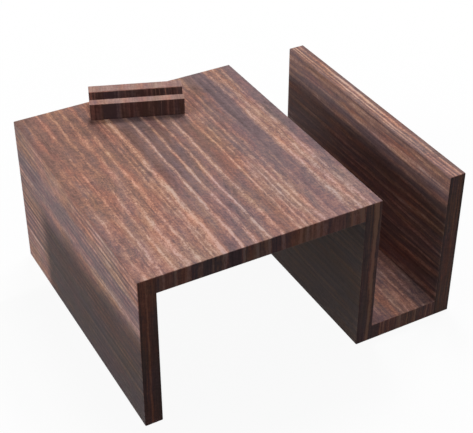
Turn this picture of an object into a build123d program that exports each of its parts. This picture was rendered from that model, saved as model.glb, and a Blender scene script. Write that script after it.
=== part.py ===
from build123d import *

import math
import os

# Sofa arm tray: five boards, glued and dowelled into a saddle for the sofa's arm with an
# open side pocket on its right, and a slotted holder block that swivels on the top board.
# Millimetres. +X is towards the pocket, +Y towards the back and +Z up. The origin is the
# middle of the footprint, on the plane that the boards stand on.

# Boards
board_thickness = 14.0
arm_gap_width = 166.0
pocket_gap_width = 60.0
tray_depth = 231.0
tray_height = 132.0
pocket_wall_height = 132.0
edge_radius = 0.8

# Dowels in the four butt joints
dowel_diameter = 6.0
dowel_length = 25.0
dowel_chamfer = 0.7
dowel_cover = 5.0
dowel_end_distance = 32.0
dowels_per_joint = 3
glue_gap = 0.05
dowel_end_gap = 0.5

# Holder block, turned on its pivot as it stands in use
holder_length = 75.0
holder_depth = 30.0
holder_height = 14.0
holder_edge_radius = 0.5
holder_rest_angle = -21.0
lip_thickness = 7.9
slot_width = 11.5
slot_lean_angle = 15.0
slot_floor_thickness = 5.5
slot_mouth_chamfer = 0.4
pivot_from_left = 93.0
pivot_from_back = 31.5

# Pivot hardware: a countersunk screw in a flanged sleeve nut, with two nylon washers
screw_diameter = 4.0
screw_length = 12.0
screw_head_diameter = 8.0
screw_head_rim = 0.2
screw_key_width = 2.5
screw_key_depth = 1.4
screw_tip_chamfer = 0.5
sleeve_diameter = 8.0
sleeve_head_diameter = 15.0
sleeve_head_thickness = 1.5
sleeve_key_width = 4.0
sleeve_key_depth = 1.8
sleeve_edge_chamfer = 0.3
washer_thickness = 1.0
washer_diameter = 16.0
washer_recess_depth = 0.5
counterbore_depth = 3.0
running_gap = 0.05
thread_gap = 0.02
hardware_gap = 0.3
key_sides = 6

# How far every cutting tool runs past what it cuts
overrun = 2.0

# Where the boards stand, from left to right
total_width = arm_gap_width + pocket_gap_width + 3 * board_thickness
left_outer_x = -total_width / 2
left_inner_x = left_outer_x + board_thickness
right_inner_x = left_inner_x + arm_gap_width
pocket_left_x = right_inner_x + board_thickness
pocket_right_x = pocket_left_x + pocket_gap_width
right_outer_x = pocket_right_x + board_thickness
top_underside_z = tray_height - board_thickness
front_y = -tray_depth / 2
back_y = tray_depth / 2

# Each board's span in X and in Z; every board runs the tray's whole depth
board_spans = {
    "left_panel": (left_outer_x, left_inner_x, 0, tray_height),
    "top_panel": (left_inner_x, right_inner_x, top_underside_z, tray_height),
    "right_panel": (right_inner_x, pocket_left_x, 0, tray_height),
    "pocket_floor": (pocket_left_x, pocket_right_x, 0, board_thickness),
    "pocket_wall": (pocket_right_x, right_outer_x, 0, pocket_wall_height),
}

# Inside corners of the carcass, where boards meet and no edge is rounded: X and Z
inside_corners = [
    (left_inner_x, top_underside_z),
    (right_inner_x, top_underside_z),
    (pocket_left_x, board_thickness),
    (pocket_right_x, board_thickness),
]

# Butt joints: the plane's X, the board drilled through its face, the board drilled in its
# edge, the side that the edge-drilled board lies on, and the dowels' Z
top_dowel_z = tray_height - board_thickness / 2
floor_dowel_z = board_thickness / 2
butt_joints = {
    "top_left": (left_inner_x, "left_panel", "top_panel", 1, top_dowel_z),
    "top_right": (right_inner_x, "right_panel", "top_panel", -1, top_dowel_z),
    "pocket_inner": (pocket_left_x, "right_panel", "pocket_floor", 1, floor_dowel_z),
    "pocket_outer": (pocket_right_x, "pocket_wall", "pocket_floor", -1, floor_dowel_z),
}
dowel_face_reach = board_thickness - dowel_cover

# The pivot's axis is upright, and its local Z is zero on the tray's top surface
pivot_x = left_outer_x + pivot_from_left
pivot_y = back_y - pivot_from_back
pivot = Pos(pivot_x, pivot_y, tray_height) * Rot(0, 0, holder_rest_angle)

# Heights above the tray's top surface
holder_bottom_z = washer_thickness - washer_recess_depth
holder_top_z = holder_bottom_z + holder_height
slot_floor_z = holder_bottom_z + slot_floor_thickness
counterbore_floor_z = counterbore_depth - board_thickness
sleeve_head_top_z = counterbore_floor_z - washer_thickness

# The slot in plan: its floor is centred on the pivot, and its walls lean back
slot_lean = math.tan(math.radians(slot_lean_angle))
slot_floor_width = slot_width / math.cos(math.radians(slot_lean_angle))
slot_front_y = -slot_floor_width / 2
slot_back_y = slot_floor_width / 2
slot_shift = slot_lean * (holder_top_z - slot_floor_z)
holder_front_y = slot_front_y + slot_shift - lip_thickness

ON_TOP = (Align.CENTER, Align.CENTER, Align.MIN)
HANGING = (Align.CENTER, Align.CENTER, Align.MAX)


def board_box(name):
    """The square-edged blank of one board."""
    low_x, high_x, low_z, high_z = board_spans[name]
    middle = Pos((low_x + high_x) / 2, 0, (low_z + high_z) / 2)
    return middle * Box(high_x - low_x, tray_depth, high_z - low_z)


def is_inside_corner(edge):
    """True for the long edges along which two boards meet at a right angle."""
    if abs(edge.tangent_at(0).Y) < math.cos(math.radians(45)):
        return False
    place = edge.center()
    return any(math.dist((place.X, place.Z), corner) < edge_radius for corner in inside_corners)


def rounded_carcass():
    """All five boards as one body, with its outside edges sanded round."""
    body = Part()
    for name in board_spans:
        body += board_box(name)
    sanded = [edge for edge in body.edges() if not is_inside_corner(edge)]
    return fillet(sanded, edge_radius)


def dowel_ys():
    """Where the dowels of one joint stand along the tray's depth."""
    first = front_y + dowel_end_distance
    last = back_y - dowel_end_distance
    step = (last - first) / (dowels_per_joint - 1)
    return [first + step * i for i in range(dowels_per_joint)]


def rod_in_joint(joint, y, radius, extra):
    """A rod on a dowel's axis, longer than the dowel by extra at each end."""
    plane_x, _, _, side, z = butt_joints[joint]
    middle_x = plane_x + side * (dowel_length / 2 - dowel_face_reach)
    return Pos(middle_x, y, z) * Rot(0, 90, 0) * Cylinder(radius, dowel_length + 2 * extra)


def dowel(joint, y):
    """One dowel with its ends chamfered."""
    stick = rod_in_joint(joint, y, dowel_diameter / 2, 0)
    return chamfer(stick.edges().filter_by(GeomType.CIRCLE), dowel_chamfer)


def drill_for_dowels(board, name):
    """The board with the blind holes of every joint that it takes part in."""
    for joint, (_, face_board, edge_board, _, _) in butt_joints.items():
        if name in (face_board, edge_board):
            for y in dowel_ys():
                board -= rod_in_joint(joint, y, dowel_diameter / 2 + glue_gap, dowel_end_gap)
    return board


def drill_for_pivot(board):
    """The top board with the sleeve's bore and the counterbore for its flange."""
    bore_radius = sleeve_diameter / 2 + running_gap
    bore = Cylinder(bore_radius, board_thickness + 2 * overrun, align=HANGING)
    seat_radius = max(washer_diameter, sleeve_head_diameter) / 2 + hardware_gap
    seat = Cylinder(seat_radius, counterbore_depth + overrun, align=HANGING)
    return board - pivot * Pos(0, 0, overrun) * bore - pivot * Pos(0, 0, counterbore_floor_z) * seat


def hex_key(width, depth):
    """The cutter for a hexagon socket that opens upwards at local zero."""
    hexagon = RegularPolygon(width / 2, key_sides, major_radius=False)
    return Pos(0, 0, -depth) * extrude(hexagon, depth + overrun)


def screw_head():
    """The countersunk head, its flat top at local zero."""
    rim = Cylinder(screw_head_diameter / 2, screw_head_rim, align=HANGING)
    cone_height = (screw_head_diameter - screw_diameter) / 2
    cone = Cone(screw_diameter / 2, screw_head_diameter / 2, cone_height, align=HANGING)
    return rim + Pos(0, 0, -screw_head_rim) * cone


def slot_section():
    """The slot's section across its length, open past the block's top."""
    corner_z = holder_top_z - slot_mouth_chamfer
    corner_shift = slot_lean * (corner_z - slot_floor_z)
    flare = slot_mouth_chamfer + overrun
    return Polyline(
        (slot_front_y, slot_floor_z),
        (slot_back_y, slot_floor_z),
        (slot_back_y + corner_shift, corner_z),
        (slot_back_y + corner_shift + flare, corner_z + flare),
        (slot_front_y + corner_shift - flare, corner_z + flare),
        (slot_front_y + corner_shift, corner_z),
        close=True,
    )


def holder_block():
    """The slotted block: a front lip, a leaning slot and a thicker back, over the pivot."""
    middle = Pos(0, holder_front_y + holder_depth / 2, holder_bottom_z)
    block = middle * Box(holder_length, holder_depth, holder_height, align=ON_TOP)
    block = fillet(block.edges(), holder_edge_radius)
    section = Plane.YZ * make_face(slot_section())
    block -= extrude(section, holder_length / 2 + overrun, both=True)
    recess_radius = washer_diameter / 2 + hardware_gap
    recess = Cylinder(recess_radius, washer_thickness + overrun, align=HANGING)
    block -= Pos(0, 0, washer_thickness) * recess
    block -= Cylinder(screw_diameter / 2 + hardware_gap / 2, slot_floor_z, align=ON_TOP)
    block -= Pos(0, 0, slot_floor_z) * screw_head()
    return pivot * block


def pivot_screw():
    """A countersunk socket screw, its head flush with the slot's floor."""
    shank = Cylinder(screw_diameter / 2, screw_length, align=HANGING)
    shank = chamfer(shank.edges().group_by(Axis.Z)[0], screw_tip_chamfer)
    body = screw_head() + shank - hex_key(screw_key_width, screw_key_depth)
    return pivot * Pos(0, 0, slot_floor_z) * body


def sleeve_nut():
    """The flanged sleeve that turns in the top board's bore and takes the screw."""
    head = Cylinder(sleeve_head_diameter / 2, sleeve_head_thickness, align=HANGING)
    head = chamfer(head.edges().group_by(Axis.Z)[0], sleeve_edge_chamfer)
    barrel_length = washer_thickness - sleeve_head_top_z
    body = head + Cylinder(sleeve_diameter / 2, barrel_length, align=ON_TOP)
    thread_depth = washer_thickness - slot_floor_z + screw_length + hardware_gap
    thread = Cylinder(screw_diameter / 2 + thread_gap, thread_depth + overrun, align=HANGING)
    body -= Pos(0, 0, barrel_length + overrun) * thread
    body -= Pos(0, 0, -sleeve_head_thickness) * Rot(180, 0, 0) * hex_key(
        sleeve_key_width, sleeve_key_depth
    )
    return pivot * Pos(0, 0, sleeve_head_top_z) * body


def washer(bottom_z):
    """A flat nylon washer round the sleeve."""
    ring = Cylinder(washer_diameter / 2, washer_thickness, align=ON_TOP)
    ring -= Cylinder(sleeve_diameter / 2 + hardware_gap, washer_thickness, align=ON_TOP)
    return pivot * Pos(0, 0, bottom_z) * ring


def all_parts():
    """Every piece by its name, each in its place."""
    parts = {}
    carcass = rounded_carcass()
    for name in board_spans:
        parts[name] = drill_for_dowels(carcass & board_box(name), name)
    parts["top_panel"] = drill_for_pivot(parts["top_panel"])
    for joint in butt_joints:
        for i, y in enumerate(dowel_ys()):
            parts[f"{joint}_dowel_{i + 1}"] = dowel(joint, y)
    parts["holder_block"] = holder_block()
    parts["pivot_screw"] = pivot_screw()
    parts["sleeve_nut"] = sleeve_nut()
    parts["upper_washer"] = washer(0)
    parts["lower_washer"] = washer(sleeve_head_top_z)
    return parts


os.makedirs("parts", exist_ok=True)
for name, shape in all_parts().items():
    export_step(shape, f"parts/{name}.step")
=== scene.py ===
import bpy
import math
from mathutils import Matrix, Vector


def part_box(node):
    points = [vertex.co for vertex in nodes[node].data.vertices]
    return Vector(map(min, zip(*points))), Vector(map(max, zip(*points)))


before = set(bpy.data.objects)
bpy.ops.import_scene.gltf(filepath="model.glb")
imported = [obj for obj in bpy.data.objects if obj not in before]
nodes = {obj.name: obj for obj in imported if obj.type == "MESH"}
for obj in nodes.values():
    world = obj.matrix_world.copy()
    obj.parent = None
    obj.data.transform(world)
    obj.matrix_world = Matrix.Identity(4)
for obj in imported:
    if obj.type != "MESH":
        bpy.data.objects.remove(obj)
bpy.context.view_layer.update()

# Looks of the sofa arm tray: stained boards, a swivelling holder block and its small
# hardware. Objects are in metres, in the frame of the CAD, and patterns are in millimetres.

mm = 1000  # in a metre
print("loaded", len(nodes), "nodes")


# Shader sums

class Wire:  # an output socket that can stand in a Python expression
    def __init__(self, finish, socket):
        self.finish = finish
        self.socket = socket

    def __add__(self, other):
        return self.finish.sum("ADD", self, other)

    def __radd__(self, other):
        return self.finish.sum("ADD", other, self)

    def __sub__(self, other):
        return self.finish.sum("SUBTRACT", self, other)

    def __rsub__(self, other):
        return self.finish.sum("SUBTRACT", other, self)

    def __mul__(self, other):
        return self.finish.sum("MULTIPLY", self, other)

    def __rmul__(self, other):
        return self.finish.sum("MULTIPLY", other, self)

    def __truediv__(self, other):
        return self.finish.sum("DIVIDE", self, other)

    def __abs__(self):
        return self.finish.sum("ABSOLUTE", self)


class Finish:  # the node tree of a material or of the world
    def __init__(self, owner):
        owner.use_nodes = True
        self.owner = owner
        self.nodes = owner.node_tree.nodes
        self.links = owner.node_tree.links
        self.nodes.clear()

    def add(self, kind, settings=None, sockets=None, output=0):
        node = self.nodes.new(kind)
        for key, value in (settings or {}).items():
            if key == "stops":
                self.setStops(node.color_ramp, value)
            elif key == "interpolation":
                node.color_ramp.interpolation = value
            else:
                setattr(node, key, value)
        for key, value in (sockets or {}).items():
            if isinstance(value, Wire):
                self.links.new(value.socket, node.inputs[key])
            else:
                node.inputs[key].default_value = value
        return Wire(self, node.outputs[output]) if node.outputs else node

    def setStops(self, ramp, stops):
        while len(ramp.elements) > 1:
            ramp.elements.remove(ramp.elements[-1])
        for i, (place, colour) in enumerate(stops):
            element = ramp.elements[0] if i == 0 else ramp.elements.new(place)
            element.position = place
            element.color = colour

    def beside(self, wire, output):  # another output of the same node
        return Wire(self, wire.socket.node.outputs[output])

    def parts(self, vector):  # x, y and z
        x = self.add("ShaderNodeSeparateXYZ", None, {0: vector})
        return x, self.beside(x, "Y"), self.beside(x, "Z")

    def place(self):  # where a point is, in mm
        return [v * mm for v in self.parts(self.add("ShaderNodeTexCoord", output="Object"))]

    def sum(self, operation, *values):
        return self.add("ShaderNodeMath", {"operation": operation}, dict(enumerate(values)))

    def mix(self, factor, first, second, blend="MIX"):  # colours
        settings = {"data_type": "RGBA", "blend_type": blend}
        return self.add("ShaderNodeMix", settings, {0: factor, 6: first, 7: second}, 2)

    def choose(self, mask, other, chosen):  # numbers, by a mask from 0 to 1
        return other + mask * (chosen - other)

    def step(self, value, low, high):  # 0 below low, 1 above high, smooth between
        settings = {"interpolation_type": "SMOOTHSTEP"}
        return self.add("ShaderNodeMapRange", settings, {0: value, 1: low, 2: high})

    def swing(self, noise, reach):  # noise about zero, as wide as reach
        return (noise - 0.5) * reach

    def noise(self, x, y, z, detail=2, rough=0.5):  # from 0 to 1, a blotch is about one unit across
        spot = self.add("ShaderNodeCombineXYZ", None, {0: x, 1: y, 2: z})
        sockets = {"Vector": spot, "Scale": 1, "Detail": detail, "Roughness": rough}
        return self.add("ShaderNodeTexNoise", {"noise_dimensions": "3D"}, sockets)

    def ramp(self, value, stops, interpolation="LINEAR"):
        settings = {"stops": stops, "interpolation": interpolation}
        return self.add("ShaderNodeValToRGB", settings, {0: value})

    def close(self, surface):
        self.add("ShaderNodeOutputMaterial", None, {0: surface})
        return self.owner


def newFinish(name):
    return Finish(bpy.data.materials.new(name))


def dress(node, material):
    node.data.materials.clear()
    node.data.materials.append(material)


def shown(red, green, blue):  # a colour as a screen shows it, 0 to 255, in scene values
    def part(value):
        value = value / 255
        return value / 12.92 if value <= 0.04045 else ((value + 0.055) / 1.055) ** 2.4
    return (part(red), part(green), part(blue), 1)


def grey(value):
    return (value, value, value, 1)


# Stained wood

# Noise in the wood: size across, along and into a board in mm, detail, roughness
grain = {
    "wander": (22, 70, 40, 2, 0.5),
    "ripple": (4, 18, 12, 2, 0.5),
    "lane": (15, 260, 60, 2, 0.5),
    "spread": (36, 300, 70, 2, 0.5),
    "strength": (7, 90, 30, 2, 0.5),
    "fineLines": (20, 130, 40, 1, 0.5),
    "plainHue": (17, 180, 50, 2, 0.5),
    "fade": (6, 40, 30, 2, 0.5),
    "broken": (2.5, 8, 5, 2, 0.6),
    "endMarks": (3, 14, 9, 2, 0.5),
    "cloud": (12, 40, 20, 3, 0.5),
    "mottle": (2.2, 8, 3, 3, 0.6),
    "fleck": (1.1, 1.8, 2, 2, 0.6),
    "fibre": (0.6, 18, 3, 3, 0.6),
    "stripes": (1.5, 60, 8, 2, 0.5),
    "pores": (0.4, 5, 0.8, 1, 0.5),
    "curl": (6, 2.2, 6, 2, 0.5),
    "broadHue": (13, 60, 18, 2, 0.5),
    "smallHue": (4, 22, 8, 2, 0.5),
    "redness": (10, 45, 12, 2, 0.5),
}
bend = {"wander": 5, "ripple": 1.4}  # of the growth lines, in mm

# The five boards and the holder block. seed shifts the noise, rings is the gap between growth
# lines, and shade is the tone between them. Lists run in mm from a left or lower edge: streaks
# are (place, width, strength), and the others are (place, value). A hue of 0.5 is neutral, more
# is warm and less is cool
boards = {
    "left_panel": {"seed": 0, "rings": 9, "shade": 0.36, "sideSpots": 1.05, "endHue": 0.66,
                   "endLift": [(0, 0), (40, -0.03), (85, 0), (100, 0.04), (115, 0.16), (132, 0.20)],
                   "endShade": [(0, 0.20), (3, 0.34), (10, 0.32), (14, 0.20)],
                   "endStreaks": [(3.5, 1.2, 0.14), (6.2, 1.8, 0.38)]},
    "top_panel": {"seed": 0, "rings": 10, "shade": 0.36,
                  "endLift": [(0, 0), (18, -0.04), (28, -0.18), (48, -0.25), (56, -0.14), (63, -0.19),
                              (72, 0.12), (84, 0.08), (92, -0.17), (98, -0.04), (104, 0.12), (126, 0.06),
                              (134, 0.04), (144, 0.20), (151, 0.06), (153, 0.10), (154.2, 0.34),
                              (155.4, 0.04), (162, 0), (163.4, 0.32), (164.6, 0), (166, -0.02)],
                  "endTilt": 0.0011},  # redder to the right, for each mm
    # Painted shade: the right panel's shade is set low for its side in the arm gap, which is also tinted
    # greyer and more olive
    "right_panel": {"seed": 310, "rings": 8, "shade": 0.28, "contrast": 0.8,
                    "paintedGapShade": {"hue": -0.03, "red": -0.28, "tint": (1.0, 1.02, 0.965, 1)},
                    "endShade": [(0, 0.24), (3, 0.29), (7, 0.27), (9.6, 0.38), (12.4, 0.30), (14, 0.24)],
                    "endSway": 5, "endLift": [(0, -0.06), (30, -0.02), (60, 0.02), (132, 0.03)],
                    "endStreaks": [(4.6, 1.4, 0.06), (9.6, 2.4, 1.4)]},
    "pocket_floor": {"seed": 470, "rings": 7, "shade": 0.40,
                     "endShade": [(0, 0.22), (4, 0.26), (9, 0.52), (14, 0.42), (27, 0.54), (34, 0.46),
                                  (50, 0.44), (60, 0.42)],
                     "endStreaks": [(8, 1.4, 0.6), (11, 1.2, 0.4), (16, 1.2, 0.3), (26, 2.2, 0.7),
                                    (33, 1.2, 0.35), (41, 2, 0.45), (52, 1.6, 0.35), (57, 1.2, 0.3)]},
    "pocket_wall": {"seed": 620, "rings": 9, "shade": 0.34, "contrast": 1.5, "endHue": 0.62, "endRed": -0.14,
                    "endShade": [(0, 0.12), (3, 0.34), (10, 0.38), (14, 0.14)],
                    "endStreaks": [(3.4, 0.9, 0.16), (8, 1.4, 0.12), (11, 1.0, 0.14)],
                    "topShade": 0.24, "topHue": 0.58,
                    "topStreaks": [(2.6, 1.2, 0.3), (5.2, 1.6, 0.5), (9.2, 2.2, 0.66)]},
    "holder_block": {"seed": 790, "rings": 2.6, "shade": 0.46,
                     "turn": math.radians(-21), "left": -37.5,  # its left end, from the pivot
                     # its ends are darker than the boards' ends: end grain, and painted shade
                     "endShade": [(0, 0.28), (7, 0.17), (13, 0.11), (18, 0.04), (22, 0.22), (28, 0.20),
                                  (32, 0.14), (37, 0.22), (43, 0.14), (48, 0.18), (58, 0.06), (62, 0.18),
                                  (75, 0.20)],
                     "endHue": [(0, 0.70), (9, 0.60), (15, -0.05), (21, 0.10), (26, 0.58), (34, 0.50),
                                (39, 0.76), (50, 0.78), (58, 0.58), (66, 0.58), (75, 0.62)], "endRed": -0.14,
                     "endStreaks": [(2, 0.8, 0.18), (5, 0.5, 0.16), (24, 1.2, 0.12), (38, 1.4, 0.10),
                                    (46.5, 0.6, 0.24), (50, 0.6, 0.24), (53.5, 0.6, 0.3), (56.5, 0.6, 0.32),
                                    (61.5, 0.8, 0.3), (66, 0.6, 0.26), (71, 0.7, 0.24)],
                     "topShade": 0.56, "topHue": 0.36, "topSpots": 0.4,
                     "topStreaks": [(12, 6, 0.05), (34, 7, 0.07), (62, 8, 0.05)]},
}
squareOn = 0.7  # how far a face looks along an axis to count as square to it
pivot = (-0.041, 0.084)  # where the holder block turns


def leftOf(name):  # where its left edge is, in mm
    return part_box(name)[0][0] * mm


def woodNoise(f, kind, across, along, deep):
    width, length, depth, detail, rough = grain[kind]
    return f.noise(across / width, along / length, deep / depth, detail, rough)


def boardSpot(f, name):  # where a point of a board lies, in mm, and which way its face looks
    part = boards[name]
    place = f.add("ShaderNodeTexCoord", output="Object")
    facing = f.beside(place, "Normal")
    if "turn" in part:  # the block's own axes, about the pivot
        turned = {"vector_type": "TEXTURE"}
        angle = (0, 0, part["turn"])
        place = f.add("ShaderNodeMapping", turned, {
            "Vector": place, "Location": (*pivot, 0), "Rotation": angle})
        facing = f.add("ShaderNodeMapping", turned, {"Vector": facing, "Rotation": angle})
    x, y, z = (v * mm for v in f.parts(place))
    facing = [abs(v) for v in f.parts(facing)]
    onSide, onEnd, onTop = (f.sum("GREATER_THAN", v, squareOn) for v in facing)
    across = f.choose(onSide, x, z)
    along = f.choose(onEnd, y, z)
    deep = f.choose(onEnd, f.choose(onSide, z, x), y) + part["seed"]
    wander = f.swing(woodNoise(f, "wander", across, along, deep), bend["wander"])
    ripple = f.swing(woodNoise(f, "ripple", across, along, deep), bend["ripple"])
    bent = across + wander + ripple
    return {"x": x, "y": y, "z": z, "facing": facing, "onSide": onSide, "onEnd": onEnd, "onTop": onTop,
            "left": part.get("left", leftOf(name)), "across": across, "wander": wander, "ripple": ripple,
            "bent": bent, "straight": (across, along, deep), "curved": (bent, along, deep)}


streakShape = ((-1.9, 0), (-0.85, 0.16), (0, 1), (0.78, 0))  # slow rise, quick fall, in widths
rampStreaks = 7  # in one ramp, which holds 32 stops
rampMargin = 0.1  # mm before its first streak and after its last


def streakRamp(f, value, streaks):  # light streaks
    total = 0
    for first in range(0, len(streaks), rampStreaks):
        group = streaks[first:first + rampStreaks]
        start = group[0][0] + streakShape[0][0] * group[0][1] - rampMargin
        length = group[-1][0] + streakShape[-1][0] * group[-1][1] + rampMargin - start
        stops = [(0.0, grey(0.0))]
        for place, width, strength in group:
            for reach, share in streakShape:
                spot = (place + reach * width - start) / length
                if stops[-1][0] < spot:
                    stops.append((spot, grey(strength * share)))
        total = f.ramp((value - start) / length, stops, "EASE") + total
    return total


def shadeRamp(f, value, shades, base=0):  # tones or hues along a face
    length = shades[-1][0]
    return f.ramp(value / length, [(place / length, grey(base + tone)) for place, tone in shades], "EASE")


# Growth lines of the faces that the photograph doesn't show
plain = {
    "spread": 34, "lane": 0.5, "line": (0.35, 1.0), "lineTone": (0.03, 0.24), "strong": (0.3, 0.7),
    "fineGap": 4.3, "fineWander": 0.4, "fineShare": (0.5, 0.66), "fineTone": 0.07,
    "hue": 0.46, "hueSwing": 0.7,
}


def plainGrain(f, spot, part):  # broad lines of a strength that varies, and fine ones in places
    straight = spot["straight"]
    lane = woodNoise(f, "lane", *straight)
    spread = f.swing(woodNoise(f, "spread", *straight), plain["spread"])
    cycle = f.sum("COSINE", (spot["bent"] + spread) * (2 * math.pi / part["rings"])) * 0.5 + 0.5
    strength = f.step(woodNoise(f, "strength", *straight), *plain["strong"])
    fineSpot = spot["across"] + spot["wander"] * plain["fineWander"]
    fine = f.sum("COSINE", fineSpot * (2 * math.pi / plain["fineGap"]))
    fine = fine * f.step(woodNoise(f, "fineLines", *straight), *plain["fineShare"])
    least, more = plain["lineTone"]
    lines = f.step(cycle, *plain["line"]) * part.get("contrast", 1) * (least + more * strength)
    tone = part["shade"] + lines + f.swing(lane, plain["lane"]) + fine * plain["fineTone"]
    hue = plain["hue"] + f.swing(woodNoise(f, "plainHue", *straight), plain["hueSwing"])
    return tone, hue, strength


# Lists as in boards, across the whole top
topFace = {
    "streaks": [
        (7, 3, 0.18), (19, 2.6, 0.29), (29, 2.6, 0.27), (38.5, 4.4, 0.27), (47, 3.2, 0.30),
        (57, 1.8, 0.22), (60.5, 2.0, 0.16), (66, 4.6, 0.50), (80, 3.0, 0.50), (91, 2.6, 0.46),
        (101, 2.4, 0.46), (111, 3.2, 0.38), (125, 2.4, 0.34), (131, 2.4, 0.26), (135, 1.8, 0.24),
        (140, 2.6, 0.30), (145.5, 2.6, 0.22), (155, 2.4, 0.16), (161.5, 2.0, 0.07), (169.5, 3.0, 0.24),
        (176.5, 3.0, 0.24), (183, 2.4, 0.18)],
    "shade": [(0, 0.33), (12, 0.42), (24, 0.43), (52, 0.44), (62, 0.44), (71, 0.30), (76, 0.31), (86, 0.29),
              (96, 0.33), (106, 0.38), (117, 0.32), (128, 0.40), (143, 0.39), (151, 0.38),
              (157, 0.25), (164, 0.31), (168, 0.52), (175, 0.53), (179, 0.55), (183, 0.51), (187, 0.40),
              (194, 0.36)],
    "hue": [(0, 0.57), (30, 0.62), (60, 0.57), (74, 0.48), (92, 0.44), (110, 0.52), (127, 0.62),
            (140, 0.50), (151, 0.36), (157, 0.08), (163, 0.10), (169, 0.44), (178, 0.52), (184, 0.42),
            (189, 0.10), (194, 0.08)],
    "fade": (0.45, 1.3),
    "calm": {"across": (46, 26), "back": (70, 48), "front": (-28, 4), "weight": 0.5, "lift": 0.045},
    # Painted shade: the top is darker towards the back
    "forward": {"span": (75, -115), "change": 0.18},  # lighter and cooler towards the front
}


def topGrain(f, spot):  # the streaks of the top, which run on over the edges of the side panels
    y = spot["y"]
    fromLeft = spot["bent"] - leftOf("left_panel")
    streaks = streakRamp(f, fromLeft, topFace["streaks"])
    least, more = topFace["fade"]
    fade = least + more * woodNoise(f, "fade", *spot["straight"])
    broken = 0.5 + woodNoise(f, "broken", *spot["curved"])
    broken = f.choose(spot["onEnd"], broken, broken * 3 - 2)  # on an end, much more so
    calm = topFace["calm"]  # fainter streaks at the left, halfway along
    still = f.step(fromLeft, *calm["across"]) * f.step(y, *calm["back"]) * f.step(y, *calm["front"])
    streaks = streaks * fade * broken * (1 - still * calm["weight"])
    # painted shade, darker towards the back and lighter towards the front
    forward = f.swing(f.step(y, *topFace["forward"]["span"]), topFace["forward"]["change"])
    tone = shadeRamp(f, fromLeft, topFace["shade"]) + streaks + still * calm["lift"] + forward
    hue = shadeRamp(f, fromLeft, topFace["hue"]) - forward
    return tone, hue


leftFace = {
    "shade": [(0, 0.44), (22, 0.46), (27, 0.44), (31.5, 0.62), (35.3, 0.08), (39, 0.54), (41.4, 0.14),
              (44.5, 0.52), (46.8, 0.24), (49.5, 0.46), (52, 0.32), (54.5, 0.47), (57.5, 0.20), (62, 0.42),
              (67, 0.30), (72, 0.40), (78, 0.30), (84, 0.45), (89, 0.54), (94, 0.33), (99, 0.27), (105, 0.34),
              (110, 0.50), (132, 0.52)],
    "calmShade": [(0, 0.42), (22, 0.44), (30, 0.46), (36, 0.36), (48, 0.36), (60, 0.30), (72, 0.36),
                  (78, 0.32), (84, 0.45), (89, 0.53), (94, 0.36), (99, 0.31), (105, 0.38), (110, 0.50),
                  (132, 0.52)],
    "calm": {"back": (82, 54), "front": (-38, 4), "weight": 0.70},
    "calmBand": {"weight": 0.38, "above": (46, 52), "below": (84, 74)},
    "hue": [(0, 0.5), (28, 0.58), (34, 0.50), (50, 0.54), (60, 0.58), (72, 0.60), (84, 0.58), (89, 0.40),
            (93, -0.10), (104, -0.12), (109, 0.40), (118, 0.58), (132, 0.56)],
    "lines": [(0, 0.5), (26, 0.6), (46, 0.7), (64, 0.9), (74, 0.5), (90, 0.4), (102, 0.5), (108, 1.0),
              (132, 1.0)],
    "lineGap": 4.9,
    "firstLine": 129,
    "lineTone": 0.23,
    "lineFade": (0.3, 0.8),
    "wander": 0.3,  # how much of the bends the lines and shades follow
    "lineRipple": 0.25,
    "shadeRipple": 0.35,
    "forward": {"span": (60, -115), "change": 0.07},  # lighter towards the front
    # Painted shadow: the lower front of the side is made darker and cooler
    "paintedShadowArea": {"back": (70, 30), "height": (50, 26), "hue": 0.14, "shade": 0.15},
    "patches": {"size": (34, 20, 40), "red": 1.5, "warm": 0.6, "rosy": 0.16},  # size along, up and in
}


def leftGrain(f, spot, strength):  # the outer side, with pale streaks and close growth lines
    y, z = spot["y"], spot["z"]
    across, along, deep = spot["straight"]
    level = across + spot["wander"] * leftFace["wander"]
    steady = level + spot["ripple"] * leftFace["lineRipple"] - leftFace["firstLine"]
    lines = f.sum("COSINE", steady * (2 * math.pi / leftFace["lineGap"]))
    least, more = leftFace["lineFade"]
    lines = lines * shadeRamp(f, spot["bent"], leftFace["lines"]) * (least + strength * more)
    level = level + spot["ripple"] * leftFace["shadeRipple"]

    # The middle of the board is smoother, and so is its front in a band below the pale streak
    calm, band = leftFace["calm"], leftFace["calmBand"]
    middle = f.step(y, *calm["back"]) * f.step(y, *calm["front"]) * calm["weight"]
    low = f.step(y, *calm["back"]) * f.step(z, *band["above"]) * f.step(z, *band["below"])
    still = f.sum("MAXIMUM", middle, low * band["weight"])
    rough, smooth = (shadeRamp(f, level, leftFace[key]) for key in ("shade", "calmShade"))
    forward = f.swing(f.step(y, *leftFace["forward"]["span"]), leftFace["forward"]["change"])
    tone = f.choose(still, rough, smooth) + lines * (1 - still) * leftFace["lineTone"] + forward

    # Painted shadow on the lower front, darker and cooler, added to the card's real shadow
    area = leftFace["paintedShadowArea"]
    paintedShadow = f.step(y, *area["back"]) * f.step(z, *area["height"])
    patches = leftFace["patches"]
    length, height, depth = patches["size"]
    patch = f.noise(along / length, across / height, deep / depth)
    hue = shadeRamp(f, level, leftFace["hue"]) - paintedShadow * area["hue"] - f.swing(patch, patches["warm"])
    return tone - paintedShadow * area["shade"], hue, f.swing(patch, patches["red"]) + low * patches["rosy"]


# Ends of the boards and the tops of the wall and the block
ends = {
    "ripple": 0.8, "wander": 0.25, "sway": 2, "swaySize": (26, 40),
    "markFade": (0.2, 1.6), "markBase": 0.4, "topMarkBase": 0.5, "markHue": 0.2, "hue": 0.48,
    "contrast": 1.5, "contrastTone": 0.4, "redSpread": 1.2, "red": 0.045,
    "tints": [(0.1, (0.64, 0.60, 0.61, 1)), (0.4, (0.70, 0.60, 0.59, 1)), (0.7, (0.74, 0.57, 0.55, 1))],
}


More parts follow.
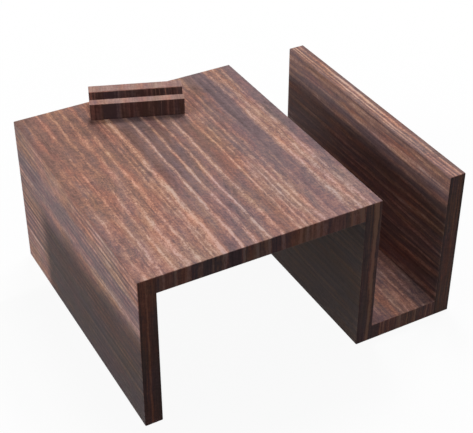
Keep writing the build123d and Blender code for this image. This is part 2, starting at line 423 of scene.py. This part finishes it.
def endGrain(f, spot, part, tone, hue, strength):  # an end, and a top that has its own streaks
    across, along, deep = spot["straight"]
    length, depth = ends["swaySize"]
    sway = f.swing(f.noise(along / length, deep / depth, 0), part.get("endSway", ends["sway"]))
    drift = spot["ripple"] * ends["ripple"] + spot["wander"] * ends["wander"] + sway
    fromEdge = across + drift - spot["left"]
    least, more = ends["markFade"]
    marks = streakRamp(f, fromEdge, part["endStreaks"])
    marks = marks * (least + more * woodNoise(f, "endMarks", across, along, deep))
    endTone = shadeRamp(f, fromEdge, part["endShade"]) + marks * (ends["markBase"] + strength)
    endHue = part.get("endHue", ends["hue"])
    if isinstance(endHue, list):
        endHue = shadeRamp(f, fromEdge, endHue)
    tone = f.choose(spot["onEnd"], tone, endTone)
    hue = f.choose(spot["onEnd"], hue, endHue + marks * ends["markHue"])
    if "topStreaks" in part:
        marks = streakRamp(f, fromEdge, part["topStreaks"])
        tone = f.choose(spot["onTop"], tone, part["topShade"] + marks * (ends["topMarkBase"] + strength))
        hue = f.choose(spot["onTop"], hue, part["topHue"])
    return tone, hue


# How much the small marks change the tone
speckle = {
    "fibre": 0.36, "cloud": 0.6, "mottle": 0.8, "fleck": 0.75,
    "base": 0.12, "withTone": 1.9,  # they show more in light wood
    "topSpots": 1, "sideSpots": 0.7, "endSpots": 0.4,
    "stripes": {"top": 0.36, "other": 0.5},
    "curl": {"top": 0.36, "other": 0.18, "slant": 0.3},  # short marks across the grain
    "pores": 0.06, "poreShare": (0.66, 0.74),
}


def smallMarks(f, spot, part, tone):  # what the eye sees close up, and what the bump is made of
    bent, along, deep = curved = spot["curved"]
    onSide, onEnd, onTop = (spot[key] for key in ("onSide", "onEnd", "onTop"))
    cloud, mottle, fleck, fibre, stripes, pores = (
        woodNoise(f, kind, *curved) for kind in ("cloud", "mottle", "fleck", "fibre", "stripes", "pores"))
    pores = f.step(pores, *speckle["poreShare"])
    spots = f.swing(cloud, speckle["cloud"]) + f.swing(mottle, speckle["mottle"])
    spots = spots + f.swing(fleck, speckle["fleck"])
    topSpots, sideSpots = (part.get(key, speckle[key]) for key in ("topSpots", "sideSpots"))
    spots = spots * f.choose(onEnd, f.choose(onSide, topSpots, sideSpots), speckle["endSpots"])
    showing = speckle["base"] + tone * speckle["withTone"]
    amount = speckle["stripes"]
    stripes = f.swing(stripes, f.choose(onTop, amount["other"], amount["top"]))
    tone = tone + (f.swing(fibre, speckle["fibre"]) + spots) * showing + stripes - pores * speckle["pores"]
    amount = speckle["curl"]
    curl = woodNoise(f, "curl", bent, along + bent * amount["slant"], deep)
    tone = tone + f.swing(curl, f.choose(onTop, amount["other"], amount["top"]))
    return tone, fibre, mottle, pores


stain = {
    "tones": [(0.0, shown(92, 68, 66)), (0.2, shown(120, 94, 91)), (0.36, shown(139, 109, 104)),
              (0.5, shown(161, 121, 108)), (0.66, shown(182, 140, 123)), (0.82, shown(200, 159, 142)),
              (1.0, shown(216, 180, 163))],
    "tints": {  # where each begins, where it is full, and its colour
        "warm": ((0.48, 0.70), (1.07, 0.96, 0.85, 1)),
        "cool": ((0.52, 0.30), (0.905, 0.98, 1.10, 1)),
        "red": ((0.50, 0.66), (1.06, 0.955, 0.96, 1)),
        "olive": ((0.48, 0.32), (0.975, 1.008, 0.965, 1)),
    },
    "broadHue": 0.8,
    "smallHue": 0.4,
    "redShift": 600,  # mm deeper, so that redness and hue differ
    "frontRed": {"span": (60, -115), "red": 0.09},
    "arris": {"span": (0.995, 0.93), "lift": 0.03},  # where a normal leaves its axis, paler
    "roughness": 0.55,
    "fibreRoughness": 0.2,
    "poreRoughness": 0.1,
    "specular": 0.1,
    "relief": {"strength": 0.4, "depth": 0.0002, "mottle": 0.4, "pores": 0.6},
}


def boardFinish(name):
    part = boards[name]
    f = newFinish("stained_" + name)
    spot = boardSpot(f, name)
    onSide, onEnd, onTop = (spot[key] for key in ("onSide", "onEnd", "onTop"))
    bent, along, deep = curved = spot["curved"]

    tone, hue, strength = plainGrain(f, spot, part)
    middle = sum(corner[0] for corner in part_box(name)) / 2 * mm  # from side to side
    # Painted shade on the side in the arm gap: cooler hue
    paintedGapShade = part.get("paintedGapShade")
    if paintedGapShade:  # the side that looks into the arm gap
        onGap = onSide * f.sum("LESS_THAN", spot["x"], middle)
        hue = hue + onGap * paintedGapShade["hue"]
    if "endShade" in part:
        tone, hue = endGrain(f, spot, part, tone, hue, strength)
    if name in ("left_panel", "top_panel", "right_panel"):
        streaked = f.sum("MAXIMUM", onTop, onEnd) if name == "top_panel" else onTop
        topTone, topHue = topGrain(f, spot)
        tone = f.choose(streaked, tone, topTone)
        hue = f.choose(streaked, hue, topHue)
    if name == "left_panel":
        leftTone, leftHue, leftRed = leftGrain(f, spot, strength)
        tone = f.choose(onSide, tone, leftTone)
        hue = f.choose(onSide, hue, leftHue)
    if "endLift" in part:  # darker and lighter stretches of an end, up it or along it
        place = spot["across"] - spot["left"] if name == "top_panel" else along
        lift = onEnd * (shadeRamp(f, place, part["endLift"], 0.5) - 0.5)
        tone = tone + lift
        hue = hue + lift

    tone, fibre, mottle, pores = smallMarks(f, spot, part, tone)
    tone = f.choose(onEnd, tone, (tone - ends["contrastTone"]) * ends["contrast"] + ends["contrastTone"])
    nx, ny, nz = spot["facing"]
    edge = f.step(f.sum("MAXIMUM", nx, f.sum("MAXIMUM", ny, nz)), *stain["arris"]["span"])
    tone = tone + edge * stain["arris"]["lift"]

    colour = f.ramp(tone, stain["tones"])
    broad, small = (f.swing(woodNoise(f, kind, *curved), stain[kind]) for kind in ("broadHue", "smallHue"))
    warmth = hue + broad + small
    front = stain["frontRed"]
    redness = woodNoise(f, "redness", bent, along, deep + stain["redShift"])
    redness = redness + onTop * f.step(along, *front["span"]) * front["red"]
    redness = redness + onEnd * (f.swing(redness, ends["redSpread"]) + ends["red"] + part.get("endRed", 0))
    if name == "left_panel":
        redness = redness + onSide * leftRed
    if "endTilt" in part:
        redness = redness + onEnd * (spot["across"] - middle) * part["endTilt"]
    # Painted shade on the side in the arm gap: more olive
    if paintedGapShade:
        redness = redness + onGap * paintedGapShade["red"]
    for value, kind in ((warmth, "warm"), (warmth, "cool"), (redness, "red"), (redness, "olive")):
        reach, tint = stain["tints"][kind]
        colour = f.mix(f.step(value, *reach), colour, tint, "MULTIPLY")
    # Painted shade on the side in the arm gap: greyer tint
    if paintedGapShade:
        colour = f.mix(onGap, colour, paintedGapShade["tint"], "MULTIPLY")
    colour = f.mix(onEnd, colour, f.mix(1.0, colour, f.ramp(tone, ends["tints"]), "MULTIPLY"))
    bump = stain["relief"]
    relief = f.add("ShaderNodeBump", None, {
        "Strength": bump["strength"], "Distance": bump["depth"],
        "Height": fibre + mottle * bump["mottle"] - pores * bump["pores"]})
    dull = f.swing(fibre, stain["fibreRoughness"]) + pores * stain["poreRoughness"]
    shader = f.add("ShaderNodeBsdfPrincipled", None, {
        "Base Color": colour, "Roughness": stain["roughness"] + dull, "Normal": relief,
        "Specular IOR Level": stain["specular"]})
    return f.close(shader)


for name in boards:
    dress(nodes[name], boardFinish(name))
print("wood done")


# Hardware and dowels

steel = {
    "colour": (0.56, 0.57, 0.58, 1), "dull": (0.40, 0.39, 0.37, 1), "roughness": 0.30,
    "markWidth": 0.07, "markRoughness": 0.12, "markDepth": 0.00002,
    "dullSize": 2.2, "dullShare": (0.46, 0.66), "dullRoughness": 0.14,
    "speckSize": 0.25, "speckRoughness": 0.1,
}


def steelFinish():  # zinc plated, with fine turning marks and a few dull spots
    f = newFinish("zincSteel")
    x, y, z = f.place()
    dx = x - pivot[0] * mm
    dy = y - pivot[1] * mm
    away = f.sum("SQRT", dx * dx + dy * dy)
    marks = f.noise(away / steel["markWidth"], z / steel["markWidth"], 0)
    dull = f.noise(*(v / steel["dullSize"] for v in (x, y, z)), 3, 0.6)
    dull = f.step(dull, *steel["dullShare"])
    speck = f.noise(*(v / steel["speckSize"] for v in (x, y, z)))
    roughness = steel["roughness"] + dull * steel["dullRoughness"] + f.swing(marks, steel["markRoughness"])
    roughness = roughness + f.swing(speck, steel["speckRoughness"])
    relief = f.add("ShaderNodeBump", None, {
        "Strength": 0.5, "Distance": steel["markDepth"], "Height": marks})
    return f.close(f.add("ShaderNodeBsdfPrincipled", None, {
        "Base Color": f.mix(dull, steel["colour"], steel["dull"]), "Metallic": 1.0,
        "Roughness": roughness, "Normal": relief}))


nylon = {
    "colour": shown(226, 222, 208), "shade": shown(206, 199, 180), "shadeSize": (3, 3, 1.5),
    "shadeShare": (0.3, 0.7), "roughness": 0.42, "pebbleSize": 0.2, "pebbleRoughness": 0.15,
    "pebbleDepth": 0.00002,
}


def nylonFinish():  # moulded, slightly milky
    f = newFinish("nylon")
    place = f.place()
    milky = f.noise(*(v / size for v, size in zip(place, nylon["shadeSize"])), 3)
    pebbles = f.noise(*(v / nylon["pebbleSize"] for v in place))
    relief = f.add("ShaderNodeBump", None, {
        "Strength": 0.3, "Distance": nylon["pebbleDepth"], "Height": pebbles})
    return f.close(f.add("ShaderNodeBsdfPrincipled", None, {
        "Base Color": f.mix(f.step(milky, *nylon["shadeShare"]), nylon["colour"], nylon["shade"]),
        "Roughness": nylon["roughness"] + f.swing(pebbles, nylon["pebbleRoughness"]), "Normal": relief}))


dowelWood = {
    "light": shown(214, 180, 136), "dark": shown(178, 138, 96),
    "fibreSize": (5, 0.5, 0.5), "fibreShare": (0.3, 0.7), "fibreDark": 0.6,
    "fleckSize": (1.6, 0.3, 0.3), "fleckShare": (0.6, 0.7), "fleckDark": 0.4,
    "roughness": 0.62, "fibreRoughness": 0.2, "fibreDepth": 0.00005,
}


def dowelFinish():  # plain beech, its grain along the dowel
    f = newFinish("dowelWood")
    place = f.place()
    fibre = f.noise(*(v / size for v, size in zip(place, dowelWood["fibreSize"])), 3, 0.6)
    fleck = f.noise(*(v / size for v, size in zip(place, dowelWood["fleckSize"])), 1)
    dark = f.step(fibre, *dowelWood["fibreShare"]) * dowelWood["fibreDark"]
    dark = dark + f.step(fleck, *dowelWood["fleckShare"]) * dowelWood["fleckDark"]
    relief = f.add("ShaderNodeBump", None, {
        "Strength": 0.4, "Distance": dowelWood["fibreDepth"], "Height": fibre})
    return f.close(f.add("ShaderNodeBsdfPrincipled", None, {
        "Base Color": f.mix(dark, dowelWood["light"], dowelWood["dark"]), "Normal": relief,
        "Roughness": dowelWood["roughness"] + f.swing(fibre, dowelWood["fibreRoughness"])}))


hardware = {"steel": steelFinish(), "nylon": nylonFinish(), "dowel": dowelFinish()}
for name, node in nodes.items():
    kind = "dowel" if "dowel" in name else "nylon" if "washer" in name else "steel"
    if name not in boards:
        dress(node, hardware[kind])
print("hardware done")


# Stage, light and camera

stage = {
    "floorSize": 8.0,
    "floorHeight": -0.0002,
    "floorColour": grey(0.95),
    "floorGlow": 0.94,  # the rest keeps the object's shadow
    "floorFade": (0.12, 0.6),  # metres out, where it turns all white
    "floorBounce": (0.085, 0.127, 0.134, 1),  # in the light that it sends back
    "ambient": 0.155,
    "ambientColour": (0.90, 1.0, 1.10, 1),
}
flag = {"back": 0.069, "front": -0.30, "foot": -0.05, "backHeight": 0.073, "frontHeight": 0.088,
        "nearness": 0.045, "colour": grey(0.02)}
lamps = {
    "keyLamp": {"place": (0.25, 0.55, 1.5), "target": (0, 0, 0.1), "size": 0.45, "power": 9.6},
    "rightLamp": {"place": (1.35, 0.75, 0.85), "target": (0.1, 0, 0.08), "size": 0.5, "power": 10},
    "leftLamp": {"place": (-1.25, 0.02, 0.62), "target": (-0.13, 0, 0.08), "size": 0.4, "power": 9},
}


def seenRays(f):  # 1 for what the camera sees, straight, in gloss or through glass, and else 0
    camera = f.add("ShaderNodeLightPath", output="Is Camera Ray")
    glossy = f.beside(camera, "Is Glossy Ray")
    clear = f.beside(camera, "Is Transmission Ray")
    return f.sum("MAXIMUM", camera, f.sum("MAXIMUM", glossy, clear))


def makeFloor():
    bpy.ops.object.select_all(action="DESELECT")
    bpy.ops.mesh.primitive_plane_add(size=stage["floorSize"], location=(0, 0, stage["floorHeight"]))
    floor = bpy.context.object
    floor.name = "floor"
    f = newFinish("paleFloor")
    pale = f.add("ShaderNodeBsdfDiffuse", None, {"Color": stage["floorColour"]})
    glow = f.add("ShaderNodeEmission", None, {"Color": grey(1), "Strength": 1.0})
    x, y = f.parts(f.add("ShaderNodeTexCoord", output="Object"))[:2]
    far = f.step(f.sum("SQRT", x * x + y * y), *stage["floorFade"])
    paper = f.add("ShaderNodeMixShader", None, {0: f.choose(far, stage["floorGlow"], 1), 1: pale, 2: glow})
    bounce = f.add("ShaderNodeBsdfDiffuse", None, {"Color": stage["floorBounce"]})
    sheet = f.add("ShaderNodeMixShader", None, {0: seenRays(f), 1: bounce, 2: paper})
    below = f.add("ShaderNodeNewGeometry", output="Backfacing")  # from below, the floor isn't there
    clear = f.add("ShaderNodeBsdfTransparent")
    floor.data.materials.append(f.close(f.add("ShaderNodeMixShader", None, {0: below, 1: sheet, 2: clear})))


def makeFlag():  # a black card that shades the lower front of the left side, as in the photograph
    lamp = Vector(lamps["leftLamp"]["place"])
    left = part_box("left_panel")[0][0]
    shadow = [(flag["back"], flag["foot"]), (flag["back"], flag["backHeight"]),
              (flag["front"], flag["frontHeight"]), (flag["front"], flag["foot"])]
    bpy.ops.object.select_all(action="DESELECT")
    bpy.ops.mesh.primitive_plane_add(size=1, location=(0, 0, 0))
    card = bpy.context.object
    card.name = "flag"
    for vertex, (y, z) in zip((0, 2, 3, 1), shadow):  # round the plane's corners
        spot = Vector((left, y, z))
        card.data.vertices[vertex].co = spot.lerp(lamp, flag["nearness"])
    f = newFinish("blackCard")
    card.data.materials.append(f.close(f.add("ShaderNodeBsdfDiffuse", None, {"Color": flag["colour"]})))
    card.visible_camera = False
    card.visible_diffuse = False
    card.visible_glossy = False
    card.visible_transmission = False


def makeWorld():
    world = bpy.data.worlds.new("studio")
    bpy.context.scene.world = world
    f = Finish(world)
    white = f.add("ShaderNodeBackground", None, {"Color": grey(1), "Strength": 1.0})
    fill = f.add("ShaderNodeBackground", None, {
        "Color": stage["ambientColour"], "Strength": stage["ambient"]})
    sky = f.add("ShaderNodeMixShader", None, {0: seenRays(f), 1: fill, 2: white})
    f.add("ShaderNodeOutputWorld", None, {0: sky})


def aimed(name, data, spot):  # a new lamp or camera, turned to its target
    item = bpy.data.objects.new(name, data)
    bpy.context.scene.collection.objects.link(item)
    item.location = spot["place"]
    aim = Vector(spot["target"]) - Vector(spot["place"])
    item.rotation_euler = aim.to_track_quat("-Z", "Y").to_euler()
    return item


def addLamp(name):
    data = bpy.data.lights.new(name, "AREA")
    data.shape = "DISK"
    data.size = lamps[name]["size"]
    data.energy = lamps[name]["power"]
    aimed(name, data, lamps[name])


view = {  # as in the photograph
    "place": (-0.36278, -0.66596, 0.61489),
    "target": (0.00274, -0.00183, 0.066),
    "lens": 89.33,
    "sensor": 36,
}


def makeCamera():
    data = bpy.data.cameras.new("camera")
    data.lens = view["lens"]
    data.sensor_width = view["sensor"]
    bpy.context.scene.camera = aimed("camera", data, view)


makeFloor()
makeFlag()
makeWorld()
for name in lamps:
    addLamp(name)
makeCamera()
bpy.context.scene.view_settings.view_transform = "Standard"
print("stage done")
